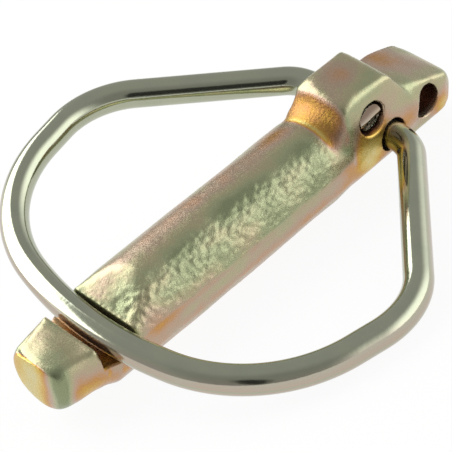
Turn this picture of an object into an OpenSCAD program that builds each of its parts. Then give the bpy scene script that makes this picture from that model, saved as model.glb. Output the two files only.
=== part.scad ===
// Wire lock pin: a forged steel pin whose drilled head carries a spring wire bow.
// The bow swings over the tip and snaps into a slot across the shank, so the pin can't slide out.
// The pin lies as it comes to rest: on its round underside, rolled until one side of the bow is down.
// X runs along the shank to the tip. The origin is on the shank's axis, at the foot of the shoulder.

/* [Shank] */
// Diameter of the forged shank
shank_d = 12; // [11:0.25:14]
// Plain length from the foot of the shoulder to the locking slot
grip_l = 35.3; // [25:0.2:60]
// Width across the trimmed flats along both sides
flash_w = 11.7; // [11:0.1:12]
// Length from the slot's far wall to the end of the nose
nose_l = 6.1; // [5.5:0.1:10]
// Half angle of the tapered nose
nose_angle = 16; // [8:1:18]
// Step down from the shank's radius to where the nose starts
nose_step = 0.6; // [0.3:0.05:0.8]
// How far the nose was forged off the shank's axis
nose_shift = 0.25; // [0:0.05:0.4]
// Rounding of the nose's end edge
nose_r = 1.1; // [0.6:0.1:2]
// Height of the flat that lets the bow ride over the nose, above the shank's axis
flat_h = 3.4; // [3.2:0.1:5.4]
// Length of the ramp from the round shank down to the flat, before the slot
ramp_l = 5; // [3:0.2:8]

/* [Slot] */
// Play of the bow's wire along the slot
slot_play = 1.4; // [1:0.1:2]
// Height of the slot's floor above the shank's axis
slot_floor = 0.65; // [0:0.05:1.5]

/* [Head] */
// Width of the head at the parting line
head_w = 10.8; // [10:0.1:11.6]
// Width of the rear tab at the parting line
tab_w = 10.1; // [9:0.1:10.8]
// Draft of the head's side faces
draft = 8; // [4:1:10]
// Height of the front block's top above the shank's axis
block_h = 9.2; // [8.5:0.1:11]
// Length of the front block's top along the shank
block_l = 9.3; // [8:0.1:11]
// Lean of the front block's rear face
block_lean = 24; // [10:1:35]
// Length of the whole head behind its front wall
head_l = 20.6; // [19.8:0.1:24]
// Height of the rear tab's top at the block, above the shank's axis
tab_h = 4.9; // [4.4:0.1:5.4]
// Fall of the tab's top towards its rear end
tab_fall = 15; // [0:1:16]
// Radius of the hollow shoulder between shank and head
shoulder_r = 3.2; // [2.5:0.1:4.5]
// Rounding of the head's rear end
rear_r = 2.8; // [1:0.1:3]
// Rounding of the head's long edges
edge_r = 1.8; // [0.8:0.1:2.2]
// Rounding of the head's cross edges
cross_r = 2.1; // [1:0.1:2.4]

/* [Bow] */
// Diameter of the spring wire
wire_d = 3.7; // [3:0.1:4]
// Play of the wire in the three cross holes
hole_play = 0.8; // [0.6:0.1:1.1]
// Half width of the bow, to the crossing of its corner tangents
bow_half_w = 28; // [25:0.2:34]
// Distance of the bow's corners from the foot of the shoulder
corner_x = 11.8; // [9:0.2:15]
// Bend radius of the bow's corners
corner_r = 11.2; // [8:0.2:12]
// Rise of the bow's corners above its belly
corner_rise = 1; // [0:0.1:2]
// Half width of the bow's belly, to the crossing of its side tangents
belly_half_w = 23.6; // [21:0.2:25]
// Bend radius between the bow's sides and belly
side_r = 19.8; // [16:0.2:20]
// Bend radius of the belly where it crosses the slot
belly_r = 46; // [40:1:47]
// Distance of the side bends behind the belly's crown
belly_sag = 5.7; // [4.5:0.1:6.5]
// Turn of the bow about the slot, from how its ends were bent
bow_skew = 1.6; // [0:0.2:3]
// Bend radius where the wire leaves the head
elbow_r = 5.5; // [4:0.5:6]
// How far the ends of the wire stand back from the mouths of their holes
end_set = 0.4; // [0.2:0.1:1.5]
// Straight wire between the head's side and its first bend
elbow_gap = 0.6; // [0.3:0.1:1.5]

/* [Hidden] */
$fn = 96;

shank_r = shank_d / 2;
wire_r = wire_d / 2;
hole_r = (wire_d + hole_play) / 2;
cut = 40;

// The round of the head's underside and of the slot's back stands this much under the shank's
relief = 0.2;

// Slot, with the curved belly of the wire on its floor, near its wall on the head's side
slot_w = wire_d + slot_play;
belly_gap = 0.13;
slot_x = grip_l + wire_r + pow(flash_w / 2, 2) / belly_r / 2 + belly_gap;
belly_z = slot_floor + wire_r + 0.1;
nose_x = grip_l + slot_w;
tip_x = nose_x + nose_l;
tip_r = shank_r - nose_step - nose_l * tan(nose_angle);

// Head, measured back from its front wall
wall_x = -shoulder_r;
rear_x = wall_x - head_l;
block_top_x = wall_x - block_l;
block_x = block_top_x - (block_h - tab_h) * tan(block_lean);
tab_rear_h = tab_h - (block_x - rear_x) * tan(tab_fall);
block_fall = 0.3;
corner_plan_r = 6;
tab_corner_r = 3.2;

// Cross holes: an upper one through the front block and two near the shank's axis
upper_x = wall_x - 4.4;
upper_z = 4.6;
lower_x = wall_x - 7.6;
lower_z = 0;
tether_x = rear_x + 5.9;
tether_z = 0.4;

// The two ends of the bow turn about the line midway between their holes
pivot_x = (upper_x + lower_x) / 2;
pivot_z = (upper_z + lower_z) / 2;

function drafted(w, z) = w / 2 - abs(z) * tan(draft);
function skewed(p) = [slot_x + (p.x - slot_x) * cos(bow_skew) + p.y * sin(bow_skew),
                      (slot_x - p.x) * sin(bow_skew) + p.y * cos(bow_skew), p.z];

// Bow: tangent corners of the wire's centre line, from the upper hole round to the lower one
corner_z = belly_z + corner_rise;
side_z = belly_z + corner_rise * belly_sag / (slot_x - corner_x);
belly_crown = slot_x + belly_r * (1 / cos(atan(belly_sag / belly_half_w)) - 1);
elbow_turn = atan2(corner_x - upper_x, bow_half_w - head_w / 2);
elbow_reach = elbow_gap + elbow_r * tan(elbow_turn / 2);
upper_y = drafted(head_w, upper_z) + elbow_reach;
lower_y = head_w / 2 + elbow_reach;
upper_end_y = drafted(head_w, upper_z) - end_set;
lower_end_y = -head_w / 2 + end_set;
bow_points = [
    [upper_x, upper_end_y, upper_z],
    [upper_x, -upper_y, upper_z],
    skewed([corner_x, -bow_half_w, corner_z]),
    skewed([belly_crown - belly_sag, -belly_half_w, side_z]),
    skewed([belly_crown, 0, belly_z]),
    skewed([belly_crown - belly_sag, belly_half_w, side_z]),
    skewed([corner_x, bow_half_w, corner_z]),
    [lower_x, lower_y, lower_z],
    [lower_x, lower_end_y, lower_z]
];
bow_bends = [elbow_r, corner_r, side_r, belly_r, side_r, corner_r, elbow_r];

// The wire thins a little where it is bent, and its straight runs reach this far into the bends
bend_thin = 0.01;
lap = 0.05;

function unit(v) = v / norm(v);
function half_angle(a, v, b) = acos(unit(a - v) * unit(b - v)) / 2;
function bend_start(a, v, b, r) = v + unit(a - v) * r / tan(half_angle(a, v, b));
function bend_centre(a, v, b, r) = v + unit(unit(a - v) + unit(b - v)) * r / sin(half_angle(a, v, b));

// Roll about the shank's axis at which the bend of the bow's side touches the ground under the shank
side_centre = bend_centre(bow_points[5], bow_points[6], bow_points[7], corner_r);
side_normal = unit(cross(bow_points[6] - bow_points[5], bow_points[7] - bow_points[6]));
function side_height(roll) = side_centre * [0, -sin(roll), cos(roll)]
    - corner_r * sqrt(1 - pow(side_normal * [0, -sin(roll), cos(roll)], 2)) - wire_r;
function settled(low, high, steps) = steps == 0 ? (low + high) / 2 :
    side_height((low + high) / 2) > -shank_r ? settled((low + high) / 2, high, steps - 1) : settled(low, (low + high) / 2, steps - 1);
lie_roll = settled(0, 40, 24);

// Points of an arc, for profiles
function arc(c, r, a0, a1, n = 10) = [for (i = [0 : n]) c + r * [cos(a0 + (a1 - a0) * i / n), sin(a0 + (a1 - a0) * i / n)]];

// A round bar between two points
module bar(p, q, r) {
    d = q - p;
    translate(p) rotate([0, acos(d.z / norm(d)), atan2(d.y, d.x)]) cylinder(r = r, h = norm(d));
}

// A bent stretch of wire from p to q about centre c, both ends at the bend's own radius
module bend(p, q, c, r) {
    u = unit(p - c);
    n = unit(cross(p - c, q - c));
    v = cross(n, u);
    turn = acos(u * unit(q - c));
    multmatrix([[u.x, v.x, n.x, c.x], [u.y, v.y, n.y, c.y], [u.z, v.z, n.z, c.z], [0, 0, 0, 1]])
        rotate_extrude(angle = turn, $fn = 180) translate([norm(p - c), 0]) circle(r = r, $fn = 48);
}

// Wire that follows tangent corners, straight between its bends
module bent_wire(points, bends, r) {
    last = len(points) - 1;
    starts = [for (i = [1 : last - 1]) bend_start(points[i - 1], points[i], points[i + 1], bends[i - 1])];
    ends = [for (i = [1 : last - 1]) bend_start(points[i + 1], points[i], points[i - 1], bends[i - 1])];
    centres = [for (i = [1 : last - 1]) bend_centre(points[i - 1], points[i], points[i + 1], bends[i - 1])];
    for (i = [0 : last - 2]) bend(starts[i], ends[i], centres[i], r - bend_thin);
    for (i = [0 : last - 1]) {
        p = i == 0 ? points[0] : ends[i - 1];
        q = i == last - 1 ? points[last] : starts[i];
        bar(p - lap * unit(q - p), q + lap * unit(q - p), r);
    }
}

// Everything is drawn with the slot upwards, then rolled to lie on the ground
module laid() { rotate([-lie_roll, 0, 0]) children(); }

// Round blank of the shank and the head's underside, along X
module blank() {
    head_r = shank_r - relief;
    rear_turn = arc([rear_x + rear_r, head_r - rear_r], rear_r, 180, 90);
    rotate([90, 0, 90]) rotate_extrude()
        polygon(concat([[0, rear_x]], [for (p = rear_turn) [p.y, p.x]],
            [[head_r, -2.5], [shank_r, 0], [shank_r, grip_l], [head_r, grip_l + relief], [head_r, nose_x - 2.1], [shank_r - nose_step - nose_shift, nose_x - 0.6], [0, nose_x - 0.6]]));
}

// Tapered nose, a little off the shank's axis
module nose() {
    base_r = shank_r - nose_step;
    end_turn = arc([tip_x - nose_r, tip_r + nose_r * (1 / cos(nose_angle) - tan(nose_angle)) - nose_r], nose_r, 90 - nose_angle, 0);
    translate([0, -0.8 * nose_shift, 0.6 * nose_shift]) rotate([90, 0, 90]) rotate_extrude()
        polygon(concat([[0, nose_x - 1.6], [base_r - 0.6, nose_x - 1.6], [base_r, nose_x - 0.6]], [for (p = end_turn) [p.y, p.x]], [[0, tip_x]]));
}

// Half of the outline at the parting line, from the tip back to the rear end
plan_half = concat(
    [[tip_x + 1, flash_w / 2], [0, flash_w / 2], [wall_x - 3, head_w / 2], [block_top_x, head_w / 2], [block_x - 1.5, tab_w / 2]],
    arc([rear_x + tab_corner_r, tab_w / 2 - tab_corner_r], tab_corner_r, 90, 180));

// Side outline above which nothing of the blank is left: ramp and flat before the nose, and only the
// underside behind the head's front wall, so that the drafted side faces carry on unbroken above it
module side_outline() {
    polygon([[rear_x - 1, -cut], [tip_x + 1, -cut], [tip_x + 1, flat_h], [grip_l - 0.5, flat_h], [grip_l - ramp_l, shank_r + 0.1],
        [wall_x, cut], [wall_x, 0.2], [rear_x - 1, 0.2]]);
}

// What the forging dies and the trimming leave of the blank
module trimmed_blank() {
    intersection() {
        union() { blank(); nose(); }
        upright(plan_half);
        along_y() side_outline();
    }
}

// Side profile of the front block, with rounded top corners
module block_profile() {
    polygon(concat([[wall_x, -1]],
        arc([wall_x - cross_r, block_h - cross_r], cross_r, 0, 90),
        arc([block_top_x + cross_r, block_h - block_fall - cross_r], cross_r, 90, 180 - block_lean),
        [[block_x - 1, tab_h - 2], [block_x - 1, -1]]));
}

// Side profile of the rear tab, whose top falls to the rounded rear end
module tab_profile() {
    polygon(concat([[wall_x - 1, -1], [wall_x - 1, tab_h], [block_x, tab_h]],
        arc([rear_x + rear_r, tab_rear_h - rear_r], rear_r, 90 + tab_fall, 180), [[rear_x, -1]]));
}

// Drafted cross section of the upper head, with its long edges rounded
module head_section(w, top) {
    side = drafted(w, top) - edge_r;
    polygon(concat([[-w / 2, -1], [w / 2, -1], [w / 2, 0]],
        arc([side, top - edge_r], edge_r, draft, 90), arc([-side, top - edge_r], edge_r, 90, 180 - draft), [[-w / 2, 0]]));
}

// Half of the front block's outline from above: its front corners round off into the shoulder
block_half = concat([[block_x - 2, head_w / 2]],
    arc([wall_x - 1.6, head_w / 2 - corner_plan_r], corner_plan_r, 90, 35), [[1, 1]]);

// An outline given by its half at positive Y, standing along Z
module upright(half) {
    translate([0, 0, -cut]) linear_extrude(height = 2 * cut)
        polygon(concat(half, [for (i = [len(half) - 1 : -1 : 0]) [half[i].x, -half[i].y]]));
}
module along_y() { rotate([90, 0, 0]) linear_extrude(height = cut, center = true) children(); }
module along_x(from, to) { translate([from, 0, 0]) rotate([90, 0, 90]) linear_extrude(height = to - from) children(); }

// Hollow shoulder that sweeps from the shank up to the front block
module shoulder() {
    rotate([90, 0, 90]) rotate_extrude()
        polygon(concat([[0, wall_x - 1], [shank_r + shoulder_r, wall_x - 1]],
            [for (p = arc([0, shank_r + shoulder_r], shoulder_r, 180, 270, 16)) [p.y, p.x]], [[0, 0]]));
}

module forged_pin() {
    color("darkkhaki") laid() difference() {
        union() {
            trimmed_blank();
            intersection() {
                union() { along_y() block_profile(); shoulder(); }
                along_x(block_x - 2, 1) head_section(head_w, block_h);
                upright(block_half);
            }
            intersection() {
                along_y() tab_profile();
                along_x(rear_x - 1, wall_x) head_section(tab_w, tab_h);
                upright(plan_half);
            }
        }
        translate([grip_l, -cut, slot_floor]) cube([slot_w, 2 * cut, cut]);
        for (h = [[upper_x, upper_z], [lower_x, lower_z], [tether_x, tether_z]])
            translate([h.x, -cut, h.y]) rotate([-90, 0, 0]) cylinder(r = hole_r, h = 2 * cut);
    }
}

module wire_bow() {
    color("tan") laid() bent_wire(bow_points, bow_bends, wire_r);
}

forged_pin();
wire_bow();
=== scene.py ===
import bmesh
import bpy
import numpy as np
from mathutils import Euler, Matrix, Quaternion, Vector


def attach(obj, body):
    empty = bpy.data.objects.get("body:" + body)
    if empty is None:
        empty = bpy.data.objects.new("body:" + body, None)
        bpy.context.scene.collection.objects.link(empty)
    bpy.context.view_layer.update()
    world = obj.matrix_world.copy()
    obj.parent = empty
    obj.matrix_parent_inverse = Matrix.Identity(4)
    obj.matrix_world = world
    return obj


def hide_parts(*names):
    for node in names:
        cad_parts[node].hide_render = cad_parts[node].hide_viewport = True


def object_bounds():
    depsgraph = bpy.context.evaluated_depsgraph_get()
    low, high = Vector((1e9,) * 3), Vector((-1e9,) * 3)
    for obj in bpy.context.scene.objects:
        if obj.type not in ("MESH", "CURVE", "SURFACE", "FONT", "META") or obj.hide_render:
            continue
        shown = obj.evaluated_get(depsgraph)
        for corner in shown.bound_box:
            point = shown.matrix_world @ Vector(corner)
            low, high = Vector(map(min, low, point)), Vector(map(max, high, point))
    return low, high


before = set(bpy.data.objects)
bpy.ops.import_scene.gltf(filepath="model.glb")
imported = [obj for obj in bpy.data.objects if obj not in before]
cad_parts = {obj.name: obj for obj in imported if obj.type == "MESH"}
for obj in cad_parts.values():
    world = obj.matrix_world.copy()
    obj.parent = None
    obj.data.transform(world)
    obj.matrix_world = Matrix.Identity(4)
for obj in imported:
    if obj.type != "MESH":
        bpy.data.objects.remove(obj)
cad_low, cad_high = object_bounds()

# Studio: a grey tent over a white floor. A broad softbox stands on the left, a low soft glow lies
# behind on the right, and the camera's side is darker, with the camera itself as a black upright
# strip. The plating shows all of these as soft bands along the round shank and the wire.
scene = bpy.context.scene
scene.view_settings.view_transform = "Standard"


def linear(colour):
    """An sRGB hex colour as linear RGBA."""
    srgb = np.array([int(colour[i:i + 2], 16) for i in (1, 3, 5)]) / 255
    return (*np.where(srgb <= 0.04045, srgb / 12.92, ((srgb + 0.055) / 1.055) ** 2.4), 1.0)


def add_node(tree, kind, inputs=None, **settings):
    """One node: its settings, then each input as a value or as the socket it is linked from."""
    node = tree.nodes.new(kind)
    for name, value in settings.items():
        setattr(node, name, value)
    for key, value in (inputs or {}).items():
        if isinstance(value, bpy.types.NodeSocket):
            tree.links.new(value, node.inputs[key])
        else:
            node.inputs[key].default_value = value
    return node


def seen_white(tree):
    """1 for what the camera and the plating's reflections see, 0 for light that falls on the part."""
    path = add_node(tree, "ShaderNodeLightPath")
    return add_node(tree, "ShaderNodeMath", {0: path.outputs["Is Camera Ray"], 1: path.outputs["Is Glossy Ray"]},
                    operation="MAXIMUM").outputs[0]


world = bpy.data.worlds.new("tent")
scene.world = world
world.use_nodes = True
tent = world.node_tree
tent.nodes.clear()
tent_path = add_node(tent, "ShaderNodeLightPath")
tent_way = add_node(tent, "ShaderNodeTexCoord").outputs["Generated"]


def tent_patch(glow, turn, rise, half_width, half_height, edge, level):
    """The glow with an oval patch of another level at a direction in degrees, its edge soft by a share."""
    size = (1000, np.sin(np.radians(half_width)), np.sin(np.radians(half_height)))
    turned = np.radians((0, -rise, turn))
    local = add_node(tent, "ShaderNodeMapping", {"Vector": tent_way, "Rotation": turned, "Scale": size},
                     vector_type="TEXTURE").outputs[0]
    from_middle = add_node(tent, "ShaderNodeVectorMath", {0: local}, operation="LENGTH").outputs["Value"]
    oval = add_node(tent, "ShaderNodeMapRange", {"Value": from_middle, "From Min": 1 + edge, "From Max": 1 - edge},
                    interpolation_type="SMOOTHSTEP").outputs[0]
    ahead = add_node(tent, "ShaderNodeSeparateXYZ", {0: local}).outputs[0]
    in_front = add_node(tent, "ShaderNodeMath", {0: ahead, 1: 0.0}, operation="GREATER_THAN").outputs[0]
    share = add_node(tent, "ShaderNodeMath", {0: oval, 1: in_front}, operation="MULTIPLY").outputs[0]
    return add_node(tent, "ShaderNodeMix", {"Factor": share, "A": glow, "B": level}).outputs["Result"]


# The right-hand glow, a dimmer one under the softbox, the camera's darker side and the camera itself.
tent_glow = tent_patch(0.50, 140, 10, 42, 27, 0.5, 2.3)
tent_glow = tent_patch(tent_glow, 295, 2, 32, 20, 0.3, 1.35)
tent_glow = tent_patch(tent_glow, 48, 25, 42, 40, 0.4, 0.36)
tent_glow = tent_patch(tent_glow, 42, 22, 8, 18, 0.35, 0.03)
tent_air = add_node(tent, "ShaderNodeBackground", {"Color": linear("#ffffff"), "Strength": tent_glow})
tent_wall = add_node(tent, "ShaderNodeBackground", {"Color": linear("#ffffff"), "Strength": 1.0})
tent_mix = add_node(tent, "ShaderNodeMixShader",
                    {0: tent_path.outputs["Is Camera Ray"], 1: tent_air.outputs[0], 2: tent_wall.outputs[0]})
add_node(tent, "ShaderNodeOutputWorld", {"Surface": tent_mix.outputs[0]})

floor_z = cad_low[2]
floor_mesh = bpy.data.meshes.new("floor")
floor_half = 2
floor_mesh.from_pydata([(x * floor_half, y * floor_half, floor_z) for x, y in ((-1, -1), (1, -1), (1, 1), (-1, 1))],
                       [], [(0, 1, 2, 3)])
floor = bpy.data.objects.new("floor", floor_mesh)
scene.collection.objects.link(floor)
sweep = bpy.data.materials.new("matt_white_sweep")
sweep.use_nodes = True
sweep_tree = sweep.node_tree
sweep_tree.nodes.clear()
sweep_paint = add_node(sweep_tree, "ShaderNodeBsdfDiffuse", {"Color": linear("#f4f4f2")})
sweep_glow = add_node(sweep_tree, "ShaderNodeEmission", {"Color": linear("#ffffff"), "Strength": 1.0})
sweep_share = add_node(sweep_tree, "ShaderNodeMath", {0: seen_white(sweep_tree), 1: 0.93}, operation="MULTIPLY")
sweep_mix = add_node(sweep_tree, "ShaderNodeMixShader",
                     {0: sweep_share.outputs[0], 1: sweep_paint.outputs[0], 2: sweep_glow.outputs[0]})
add_node(sweep_tree, "ShaderNodeOutputMaterial", {"Surface": sweep_mix.outputs[0]})
floor_mesh.materials.append(sweep)

softbox_lamp = bpy.data.lights.new("left_softbox", "AREA")
softbox_lamp.shape = "RECTANGLE"
softbox_lamp.size, softbox_lamp.size_y = 0.62, 0.44
softbox_lamp.energy = 2.6
softbox = bpy.data.objects.new("left_softbox", softbox_lamp)
softbox.location = (0.141, -0.3355, 0.271)
softbox_aim = (Vector((0.012, 0, 0)) - softbox.location).to_track_quat("-Z", "Y")
softbox.rotation_euler = (softbox_aim @ Quaternion((0, 0, 1), np.radians(-32))).to_euler()
scene.collection.objects.link(softbox)

# The camera stands where the photograph was taken from, with the lens that its perspective gives.
camera_lens = bpy.data.cameras.new("camera")
camera_lens.lens = 166.4
camera_lens.clip_start = 0.01
camera = bpy.data.objects.new("camera", camera_lens)
camera.location = (0.1355, 0.17508, 0.13947)
camera.rotation_euler = Euler(np.radians((55.394, 15.546, 134.897)))
scene.collection.objects.link(camera)
scene.camera = camera

# Forged pin: drop-forged steel, trimmed along both sides, drilled and slotted, then zinc plated and passivated
# yellow. The hammered skin of the shank and the soft forged edges stand over the CAD solid's shape.
LIE_ROLL = np.radians(15.6304)


def pin_frame(points):
    """Points with the slot turned upwards: the lying part rolled back about the shank's axis."""
    x, y, z = points[:, 0], points[:, 1], points[:, 2]
    c, s = np.cos(LIE_ROLL), np.sin(LIE_ROLL)
    return np.stack([x, y * c - z * s, y * s + z * c], 1)


def new_piece(name, mesh, body, node, material):
    """An object at the origin that stands for a CAD node, rides on its body and takes a material."""
    piece = bpy.data.objects.new(name, mesh)
    scene.collection.objects.link(piece)
    mesh.materials.clear()
    mesh.materials.append(material)
    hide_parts(node)
    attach(piece, body)
    return piece


def even_skin(node, voxel):
    """The CAD node's mesh in mm, merged and rebuilt as an even skin of voxel mm."""
    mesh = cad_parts[node].data.copy()
    mesh.transform(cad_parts[node].matrix_world)
    welded = bmesh.new()
    welded.from_mesh(mesh)
    bmesh.ops.remove_doubles(welded, verts=welded.verts, dist=2e-7)
    bmesh.ops.scale(welded, vec=(1000, 1000, 1000), verts=welded.verts)
    welded.to_mesh(mesh)
    welded.free()
    skin = bpy.data.objects.new(node + "_skin", mesh)
    scene.collection.objects.link(skin)
    remesh = skin.modifiers.new("even", "REMESH")
    remesh.mode = "VOXEL"
    remesh.voxel_size = voxel
    done = bpy.data.meshes.new_from_object(skin.evaluated_get(bpy.context.evaluated_depsgraph_get()))
    bpy.data.objects.remove(skin)
    return done


def vertex_array(mesh, data, name):
    """One vector per vertex of a mesh, as an array."""
    values = np.empty(len(mesh.vertices) * 3)
    data.foreach_get(name, values)
    return values.reshape(-1, 3)


def smoothed(points, edges, share, rounds):
    """Points after rounds of moving their share of the way to the mean of their neighbours."""
    count = np.bincount(edges.ravel(), minlength=len(points))[:, None]
    for _ in range(rounds):
        total = np.stack([np.bincount(edges[:, 0], points[edges[:, 1], k], len(points))
                          + np.bincount(edges[:, 1], points[edges[:, 0], k], len(points)) for k in range(3)], 1)
        points = points + share[:, None] * (total / count - points)
    return points


def waves(points, seed, size, count=40):
    """Smooth random bumps: a sum of plane waves whose lengths are near size mm, scaled to about 1."""
    rng = np.random.default_rng(seed)
    turn = rng.normal(size=(count, 3))
    turn *= (2 * np.pi / size * rng.uniform(0.6, 1.5, count) / np.linalg.norm(turn, axis=1))[:, None]
    return np.sin(points @ turn.T + rng.uniform(0, 2 * np.pi, count)).sum(1) / np.sqrt(count / 2)


def ease(value, low, high):
    """0 below low, 1 above high, and a smooth rise between."""
    t = np.clip((value - low) / (high - low), 0, 1)
    return t * t * (3 - 2 * t)


def bump_at(points, centre, size):
    """A soft round spot: 1 at centre, fading over size mm along X, Y and Z."""
    return np.exp(-(((points - centre) / size) ** 2).sum(1))


pin_mesh = even_skin("forged_pin", 0.23)
pin_edges = np.empty(len(pin_mesh.edges) * 2, int)
pin_mesh.edges.foreach_get("vertices", pin_edges)
skin_points = vertex_array(pin_mesh, pin_mesh.vertices, "co")
p = pin_frame(skin_points)
TAB_X, TAB_HALF, BLOCK_HALF, DRAFT = -14.5, 5.05, 5.4, np.radians(8)
half_width = np.where(p[:, 0] < TAB_X, TAB_HALF, BLOCK_HALF) - np.abs(p[:, 2]) * np.tan(DRAFT)
HOLE_R = 2.25
hole_centres = ((-7.6, 4.6), (-10.8, 0.0), (-17.9, 0.4))
from_hole = np.min([np.hypot(p[:, 0] - x, p[:, 2] - z) for x, z in hole_centres], axis=0) - HOLE_R
in_slot = ease(p[:, 0], 34.4, 35.0) * (1 - ease(p[:, 0], 40.9, 41.5))
# Forging leaves the head, the ramp and the nose with soft edges; the drilled and sawn ones are crisper.
soften = 0.04 + 0.06 * (1 - ease(p[:, 0], 0.0, 3.0)) + 0.12 * ease(p[:, 0], 27.0, 30.0)
soften += 0.10 * ease(p[:, 0], 42.0, 43.2) + 0.40 * ease(p[:, 0], 25.5, 29.0) * (1 - ease(p[:, 0], 33.8, 34.7))
for share, centre, size in ((0.20, (-2.4, 5.0, 3.5), (1.6, 1.4, 4.5)), (0.36, (-3.8, 0.0, 8.6), (1.2, 6.0, 1.2)),
                            (0.34, (-23.4, 4.6, 3.6), (2.4, 2.4, 2.2)), (0.18, (-19.5, 4.6, 4.0), (4.0, 1.4, 1.4))):
    soften += share * bump_at(p, centre, size)
soften = np.minimum(soften, 0.5) * (1 - 0.8 * in_slot) * (0.25 + 0.75 * ease(from_hole, 0.3, 1.1))
skin_points = smoothed(skin_points, pin_edges.reshape(-1, 2), soften, 60)
pin_mesh.vertices.foreach_set("co", skin_points.ravel())
skin_normals = vertex_array(pin_mesh, pin_mesh.vertex_normals, "vector")
p = pin_frame(skin_points)
n = pin_frame(skin_normals)
around = np.degrees(np.arctan2(p[:, 1], p[:, 2]))
radius = np.hypot(p[:, 1], p[:, 2])
on_shank = ease(p[:, 0], -1.0, 2.0) * (1 - ease(p[:, 0], 34.6, 35.3)) * ease(radius, 3.4, 3.8)
flats = ease(np.abs(n[:, 1]), 0.94, 0.985)

# Shallow hammer marks on the round, deepest on the upper right, a finer grain over the head, and dents.
hammered = on_shank * (1 - flats)
rough_side = 0.12 + 0.88 * ease(around + 5 * waves(p, 9, 5.0), 8, 36) * (1 - ease(around, 92, 112))
marks = (0.040 * waves(p, 3, 1.25, 80) + 0.020 * waves(p, 5, 0.8, 80)) * rough_side
marks += 0.035 * waves(p * [0.5, 1, 1], 8, 6.0)
head_grain = (1 - ease(p[:, 0], -3.5, -2.0)) * (0.003 * waves(p, 11, 1.1) + 0.03 * waves(p, 12, 5.0))
nose_grain = ease(p[:, 0], 40.6, 41.2) * (0.003 * waves(p, 15, 1.0) + 0.03 * waves(p, 16, 5.0))
dents = 0
for depth, centre, size in ((0.16, (33.6, -2.2, 5.3), (0.35, 0.9, 0.6)), (0.10, (33.9, 1.0, 4.0), (0.5, 0.5, 1.0)),
                            (0.12, (29.5, 2.5, 5.6), (0.7, 0.5, 0.6))):
    dents -= depth * bump_at(p, centre, size)
# The forging swells a little at the head's left and rear and beside the rear hole, and falls off at the nose's left.
swell = 0.20 * (1 - ease(p[:, 0], -4.0, -2.5)) * ease(-n[:, 1], 0.3, 0.9) + 0.05 * ease(p[:, 0], 41.8, 43.5)
swell += 0.35 * (1 - ease(p[:, 0], -21, -18)) * ease(-n[:, 0], 0.4, 0.9) * (1 - ease(p[:, 2], -0.5, 1.5))
swell += 0.50 * bump_at(p, (-15.9, 4.7, 1.7), (1.4, 1.2, 1.5)) - 0.40 * bump_at(p, (-23.0, -2.0, 2.8), (1.6, 4.0, 1.3))
swell -= 0.10 * np.clip(p[:, 0] - 41.8, 0, 4) * (1 - ease(p[:, 1], -3.0, 0.5)) * ease(n[:, 2], 0.5, 0.8)
fine_grain = (head_grain + nose_grain) * ease(radius, 3.0, 4.0) * ease(from_hole, 0.0, 0.6)
away = swell + hammered * marks + fine_grain + dents
skin_points += skin_normals * away[:, None]
skin_points[:, 2] = np.maximum(skin_points[:, 2], cad_low[2] * 1000)
pin_mesh.vertices.foreach_set("co", (skin_points / 1000).ravel())
pin_mesh.shade_smooth()

# The hollow shoulder is rough; painted shade darkens it above its foot, where a brighter line is a painted highlight.
on_shoulder = ease(p[:, 0], -3.6, -2.8) * (1 - ease(p[:, 0], -0.9, 0.3)) * ease(p[:, 2], 3.0, 5.0)
shoulder_foot_highlight = np.exp(-((p[:, 0] + 0.55) / 0.4) ** 2) * ease(p[:, 2], 4.0, 5.5)

# Thickness of the passivation film, which sets its tint: thin is straw, then gold, orange, rose,
# mauve and green. It is thick where the bath drained last, in the hollows and along low edges.
film = 0.80 + 0.04 * waves(p, 21, 7.0)
film -= 0.50 * on_shank * np.exp(-((around - 140) / 25) ** 2)
film -= (0.20 + 0.14 * ease(10 - p[:, 0], 0, 8)) * on_shank * np.exp(-((around + 24) / 20) ** 2)
film += 0.16 * on_shank * np.exp(-((around - 22) / 14) ** 2)
film += 0.10 * on_shank * ease(around, 34, 48) * (1 - ease(around, 85, 100))
film -= 0.20 * on_shank * np.exp(-((around - 70) / 14) ** 2) * ease(p[:, 0], 12, 26)
film -= 0.20 * flats * ease(p[:, 0], -6, -1) * (p[:, 0] < 40) * (p[:, 1] > 0) * (1 + 0.12 * waves(p, 27, 3.5))
# The film thins along the shoulder's foot to a paler straw: a painted highlight line.
film -= 0.44 * on_shoulder + 0.24 * shoulder_foot_highlight
film -= 0.34 * ease(p[:, 0], 35.3, 35.5) * (1 - ease(p[:, 0], 40.3, 40.6)) * ease(p[:, 2], 0.2, 0.9)
film += 0.70 * np.exp(-(((p[:, 0] - 46.2) / 1.3) ** 2 + ((p[:, 1] - 3.9) / 1.5) ** 2))
film -= 0.62 * ease(n[:, 0], 0.55, 0.9) * ease(p[:, 0], 43, 44.5) * (1 - 0.8 * ease(p[:, 1], -0.5, 3.5))
# Patches: on the ramp, the block's top, the tab's top, the nose's side, between the rear holes, at the tab's
# low corner, below and round the upper hole, and the green down the block's front corner.
for change, centre, size in ((-0.26, (32.5, 4.5, 2.8), (2.5, 1.4, 1.8)), (-0.16, (-7.5, -1.5, 9.2), (3.8, 3.2, 1.5)),
                             (-0.36, (-18.5, -2.0, 4.0), (4.5, 3.6, 2.0)), (-0.58, (44.0, 5.0, -1.5), (5.0, 2.5, 3.0)),
                             (-0.25, (-14.5, 5.3, 0.8), (3.5, 1.0, 2.5)), (-0.60, (-21.5, 5.3, -2.0), (2.6, 2.0, 2.4)),
                             (-0.66, (-6.0, 5.3, 0.2), (4.4, 1.2, 4.6)), (-0.42, (-8.0, 5.4, 4.6), (3.0, 1.2, 3.0)),
                             (0.42, (-2.8, 4.8, 5.0), (1.3, 1.4, 4.5))):
    film += change * bump_at(p, centre, size)
pin_mesh.attributes.new("film", "FLOAT", "POINT").data.foreach_set("value", film)
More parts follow.
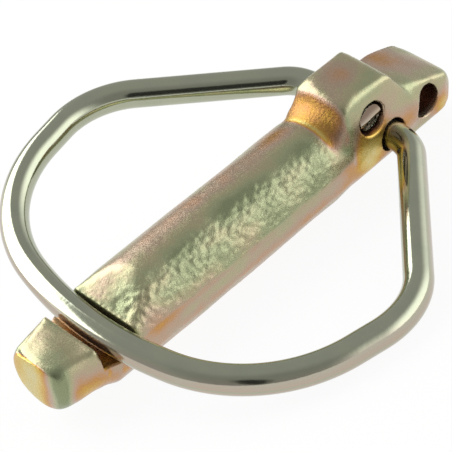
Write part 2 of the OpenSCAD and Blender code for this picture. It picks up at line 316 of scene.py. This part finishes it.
# Painted shade: the drilled walls and the crease under the shoulder are darkened.
hole_shade = (1 - ease(from_hole, 0.05, 0.45)) * ease(half_width - np.abs(p[:, 1]), 0.3, 1.0)
# Painted shade along the crease under the shoulder, strongest on the +Y side.
crease_shade = (0.35 + 0.55 * ease(p[:, 1], 0.5, 2.5)) * np.exp(-((p[:, 0] - 0.4) / 0.4) ** 2) * ease(p[:, 2], 2.5, 4.0)
crease_shade *= 0.75 + 0.25 * waves(p, 25, 1.5)
# Painted shade over the hollow shoulder, left off along its foot.
shoulder_shade = 0.32 * on_shoulder * (1 - shoulder_foot_highlight)
# The share of each point left without painted shade.
unshaded_share = 1 - np.clip(np.max([0.85 * hole_shade, 0.4 * crease_shade, shoulder_shade], axis=0), 0, 1)
pin_mesh.attributes.new("unshaded", "FLOAT", "POINT").data.foreach_set("value", unshaded_share)
graininess = 0.14 + 0.36 * hammered * rough_side + 0.35 * on_shoulder * (1 - shoulder_foot_highlight)
pin_mesh.attributes.new("graininess", "FLOAT", "POINT").data.foreach_set("value", graininess)


def noise(tree, place, scale, detail, roughness):
    """Fractal noise of 0 to 1 at a place."""
    inputs = {"Vector": place, "Scale": scale, "Detail": detail, "Roughness": roughness}
    return add_node(tree, "ShaderNodeTexNoise", inputs).outputs["Fac"]


# Yellow-passivated zinc: an iridescent film over bright zinc, so a metal whose colour is the film's.
# Its satin gloss shows each hammer mark, and a fine crystal speckle breaks the highlights.
plated_forging = bpy.data.materials.new("yellow_passivated_zinc_on_forging")
plated_forging.use_nodes = True
tree = plated_forging.node_tree
tree.nodes.clear()
place = add_node(tree, "ShaderNodeTexCoord").outputs["Object"]
mm = add_node(tree, "ShaderNodeMapping", {"Vector": place, "Scale": (1000, 1000, 1000)}).outputs[0]
film_depth = add_node(tree, "ShaderNodeAttribute", attribute_name="film").outputs["Fac"]
cloud = noise(tree, mm, 0.30, 3.0, 0.6)
speck = noise(tree, mm, 3.2, 3.0, 0.7)
clouded = add_node(tree, "ShaderNodeMath", {0: cloud, 1: 0.34, 2: -0.17}, operation="MULTIPLY_ADD").outputs[0]
speckled = add_node(tree, "ShaderNodeMath", {0: speck, 1: 0.22, 2: -0.11}, operation="MULTIPLY_ADD").outputs[0]
depth = add_node(tree, "ShaderNodeMath", {0: film_depth, 1: clouded}, operation="ADD").outputs[0]
depth = add_node(tree, "ShaderNodeMath", {0: depth, 1: speckled}, operation="ADD").outputs[0]


def film_tint(tree, depth):
    """The film's tint from its depth, 0 to 1."""
    ramp = add_node(tree, "ShaderNodeValToRGB", {"Fac": depth})
    stops = [(0.05, "#d0c898"), (0.18, "#d4bc70"), (0.30, "#caa048"), (0.42, "#c08f58"), (0.54, "#bd9c82"),
             (0.64, "#b6a28c"), (0.74, "#b2aa88"), (0.86, "#a4a884"), (1.0, "#8c9472")]
    while len(ramp.color_ramp.elements) < len(stops):
        ramp.color_ramp.elements.new(0.5)
    for stop, (where, colour) in zip(ramp.color_ramp.elements, stops):
        stop.position = where
        stop.color = linear(colour)
    return ramp.outputs["Color"]


# Painted shade: where that share is low, the tint turns dark red-brown.
unshaded = add_node(tree, "ShaderNodeAttribute", attribute_name="unshaded").outputs["Fac"]
tint = add_node(tree, "ShaderNodeMix", {"Factor": unshaded, "A": linear("#6e3626"), "B": film_tint(tree, depth)},
                data_type="RGBA").outputs["Result"]
gloss = add_node(tree, "ShaderNodeMapRange",
                 {"Value": speck, "From Min": 0.3, "From Max": 0.7, "To Min": 0.22, "To Max": 0.36}).outputs[0]
grain = noise(tree, mm, 2.6, 4.0, 0.7)
graininess = add_node(tree, "ShaderNodeAttribute", attribute_name="graininess").outputs["Fac"]
relief = add_node(tree, "ShaderNodeBump", {"Height": grain, "Strength": graininess, "Distance": 0.0002}).outputs[0]
skin_shader = add_node(tree, "ShaderNodeBsdfPrincipled",
                       {"Base Color": tint, "Metallic": 0.9, "Roughness": gloss, "Normal": relief})
add_node(tree, "ShaderNodeOutputMaterial", {"Surface": skin_shader.outputs[0]})
new_piece("forged_pin_skin", pin_mesh, "pin", "forged_pin", plated_forging)

# Wire bow: drawn spring wire, 3.7 mm thick, bent to a D and plated like the pin. Its ends are nipped off to a
# blunt edge and sprung into the head's two offset holes; its belly drops into the slot.
WIRE_R = 1.85
bow_bends = np.array([5.5, 11.2, 19.8, 46.0, 19.8, 11.2, 5.5])
elbow_r, belly_r = bow_bends[0], bow_bends[3]
# Where the tangents of the bends cross, from the upper hole round to the lower one, turned a little about the slot.
corner_x, corner_half, corner_rise = 11.8, 28.0, 1.0
slot_x, belly_z, belly_half, belly_sag = 37.652, 2.6, 23.6, 5.7
BOW_SKEW, END_SET, ELBOW_GAP = np.radians(1.6), 0.4, 0.6
crown_x = slot_x + belly_r * (np.hypot(belly_sag, belly_half) / belly_half - 1)
corner_z = belly_z + corner_rise
side_z = belly_z + corner_rise * belly_sag / (slot_x - corner_x)
plan = np.array([[corner_x, -corner_half, corner_z], [crown_x - belly_sag, -belly_half, side_z], [crown_x, 0, belly_z],
                 [crown_x - belly_sag, belly_half, side_z], [corner_x, corner_half, corner_z]])
back = plan[:, 0] - slot_x
skewed = np.stack([slot_x + back * np.cos(BOW_SKEW) + plan[:, 1] * np.sin(BOW_SKEW),
                   plan[:, 1] * np.cos(BOW_SKEW) - back * np.sin(BOW_SKEW), plan[:, 2]], 1)
(upper_x, upper_z), (lower_x, lower_z) = hole_centres[:2]
upper_side = BLOCK_HALF - upper_z * np.tan(DRAFT)
elbow_turn = np.arctan2(corner_x - upper_x, corner_half - BLOCK_HALF)
elbow_reach = ELBOW_GAP + elbow_r * np.tan(elbow_turn / 2)
bow_corners = np.vstack([[upper_x, upper_side - END_SET, upper_z], [upper_x, -upper_side - elbow_reach, upper_z], skewed,
                         [lower_x, BLOCK_HALF + elbow_reach, lower_z], [lower_x, END_SET - BLOCK_HALF, lower_z]])


def bent_path(corners, bends, step):
    """Points along straight runs joined by tangent arcs, one arc in each inner corner."""
    ahead = np.diff(corners, axis=0)
    ahead /= np.linalg.norm(ahead, axis=1)[:, None]
    turn = np.arccos((ahead[:-1] * ahead[1:]).sum(1))
    reach = bends * np.tan(turn / 2)
    run_start, run_end = corners[:-1].copy(), corners[1:].copy()
    run_start[1:] += ahead[1:] * reach[:, None]
    run_end[:-1] -= ahead[:-1] * reach[:, None]
    parts = []
    for i in range(len(ahead)):
        length = np.linalg.norm(run_end[i] - run_start[i])
        t = np.linspace(0, 1, max(2, int(length / step)) + 1)[:, None]
        parts.append(run_start[i] + (run_end[i] - run_start[i]) * t)
        if i < len(bends):
            side = ahead[i + 1] - ahead[i] * (ahead[i] @ ahead[i + 1])
            side /= np.linalg.norm(side)
            a = np.linspace(0, turn[i], max(3, int(bends[i] * turn[i] / step)) + 1)[1:-1, None]
            parts.append(run_end[i] + bends[i] * (side * (1 - np.cos(a)) + ahead[i] * np.sin(a)))
    return np.vstack(parts)


path = bent_path(bow_corners, bow_bends, 0.28)
along = np.gradient(path, axis=0)
along /= np.linalg.norm(along, axis=1)[:, None]
up = np.array([0, 0, 1.0]) - along * along[:, 2:3]
up /= np.linalg.norm(up, axis=1)[:, None]
out = np.cross(along, up)

RING = 48
turn = np.linspace(0, 2 * np.pi, RING, endpoint=False)
# Rings of the tube, then at each end rings that shrink to the middle of the nipped end.
shrink = np.array([1.0, 0.97, 0.88, 0.74, 0.58, 0.42, 0.26, 0.1, 0.0])
end_rings = len(shrink) - 1
ring_at = np.concatenate([np.zeros(end_rings, int), np.arange(len(path)), np.full(end_rings, len(path) - 1)])
ring_size = np.concatenate([shrink[:0:-1], np.ones(len(path)), shrink[1:]])
across_out = np.outer(ring_size, np.cos(turn)) * WIRE_R
across_up = np.outer(ring_size, np.sin(turn)) * WIRE_R
wire = path[ring_at][:, None] + across_out[..., None] * out[ring_at][:, None]
wire += across_up[..., None] * up[ring_at][:, None]
# The nippers leave two slopes that meet in a ridge: the end falls back with the distance from it.
from_ridge = across_up - 0.16 * across_out
slope = 0.35 * np.abs(from_ridge)
end_part = np.concatenate([np.full(end_rings, 1.0), np.zeros(len(path)), np.full(end_rings, -1.0)])
end_part[end_rings], end_part[-1 - end_rings] = 1.0, -1.0
wire += (end_part[:, None] * slope)[..., None] * along[ring_at][:, None]
c, s = np.cos(LIE_ROLL), np.sin(LIE_ROLL)
wire = wire @ np.array([[1, 0, 0], [0, c, -s], [0, s, c]])

rows = len(ring_at)
grid = np.arange(rows * RING).reshape(rows, RING)
quads = np.stack([grid[:-1], np.roll(grid[:-1], -1, 1), np.roll(grid[1:], -1, 1), grid[1:]], -1).reshape(-1, 4)
wire_mesh = bpy.data.meshes.new("wire_bow_wire")
wire_mesh.from_pydata((wire.reshape(-1, 3) / 1000).tolist(), [], quads.tolist())
# Painted shade darkens the nipped ends to a rosy brown, but for a bright strip beside the ridge, a painted highlight.
on_end = end_part[:, None] != 0
end_shade_and_highlight = np.where(on_end, 0.30 + 0.70 * np.exp(-((from_ridge - 0.10) / 0.42) ** 2), 1.0)
wire_mesh.attributes.new("turn", "FLOAT", "POINT").data.foreach_set("value", np.where(on_end, 0.0, turn).ravel())
wire_mesh.attributes.new("end_shade_and_highlight", "FLOAT", "POINT").data.foreach_set("value", end_shade_and_highlight.ravel())
closed = bmesh.new()
closed.from_mesh(wire_mesh)
bmesh.ops.remove_doubles(closed, verts=closed.verts, dist=1e-7)
bmesh.ops.recalc_face_normals(closed, faces=closed.faces)
closed.to_mesh(wire_mesh)
closed.free()
wire_mesh.shade_smooth()

# Yellow-passivated zinc on drawn wire: smooth and glossy, mostly green-grey, with rose along the
# outer side, and a few tiny dark pits.
plated_wire = bpy.data.materials.new("yellow_passivated_zinc_on_drawn_wire")
plated_wire.use_nodes = True
tree = plated_wire.node_tree
tree.nodes.clear()
place = add_node(tree, "ShaderNodeTexCoord").outputs["Object"]
mm = add_node(tree, "ShaderNodeMapping", {"Vector": place, "Scale": (1000, 1000, 1000)}).outputs[0]
wire_turn = add_node(tree, "ShaderNodeAttribute", attribute_name="turn").outputs["Fac"]
wire_side = add_node(tree, "ShaderNodeMath", {0: wire_turn}, operation="COSINE").outputs[0]
wire_cloud = noise(tree, mm, 0.22, 3.0, 0.55)
wire_depth = add_node(tree, "ShaderNodeMath", {0: wire_cloud, 1: 0.30, 2: 0.72}, operation="MULTIPLY_ADD").outputs[0]
outer = add_node(tree, "ShaderNodeMapRange",
                 {"Value": wire_side, "From Min": 0.6, "From Max": 1.0, "To Min": 0.0, "To Max": 0.32}).outputs[0]
wire_depth = add_node(tree, "ShaderNodeMath", {0: wire_depth, 1: outer}, operation="SUBTRACT").outputs[0]
pits = add_node(tree, "ShaderNodeTexVoronoi", {"Vector": mm, "Scale": 0.12}).outputs["Distance"]
end_shade_mask = add_node(tree, "ShaderNodeAttribute", attribute_name="end_shade_and_highlight").outputs["Fac"]
pit_mask = add_node(tree, "ShaderNodeMapRange", {"Value": pits, "From Min": 0.012, "From Max": 0.024}).outputs[0]
wire_film = add_node(tree, "ShaderNodeMix", {"Factor": 0.50, "A": film_tint(tree, wire_depth), "B": linear("#b2b6ac")},
                     data_type="RGBA").outputs["Result"]
# The dark brown takes the tiny pits, and the painted shade and highlight strip of the nipped ends.
pits_and_end_shade = add_node(tree, "ShaderNodeMath", {0: pit_mask, 1: end_shade_mask}, operation="MULTIPLY").outputs[0]
wire_tint = add_node(tree, "ShaderNodeMix", {"Factor": pits_and_end_shade, "A": linear("#5a4030"), "B": wire_film},
                     data_type="RGBA").outputs["Result"]
wire_grain = noise(tree, mm, 1.3, 3.0, 0.6)
wire_relief = add_node(tree, "ShaderNodeBump", {"Height": wire_grain, "Strength": 0.08, "Distance": 0.0001}).outputs[0]
wire_shader = add_node(tree, "ShaderNodeBsdfPrincipled",
                       {"Base Color": wire_tint, "Metallic": 0.97, "Roughness": 0.11, "Normal": wire_relief})
add_node(tree, "ShaderNodeOutputMaterial", {"Surface": wire_shader.outputs[0]})
new_piece("wire_bow_wire", wire_mesh, "bow", "wire_bow", plated_wire)
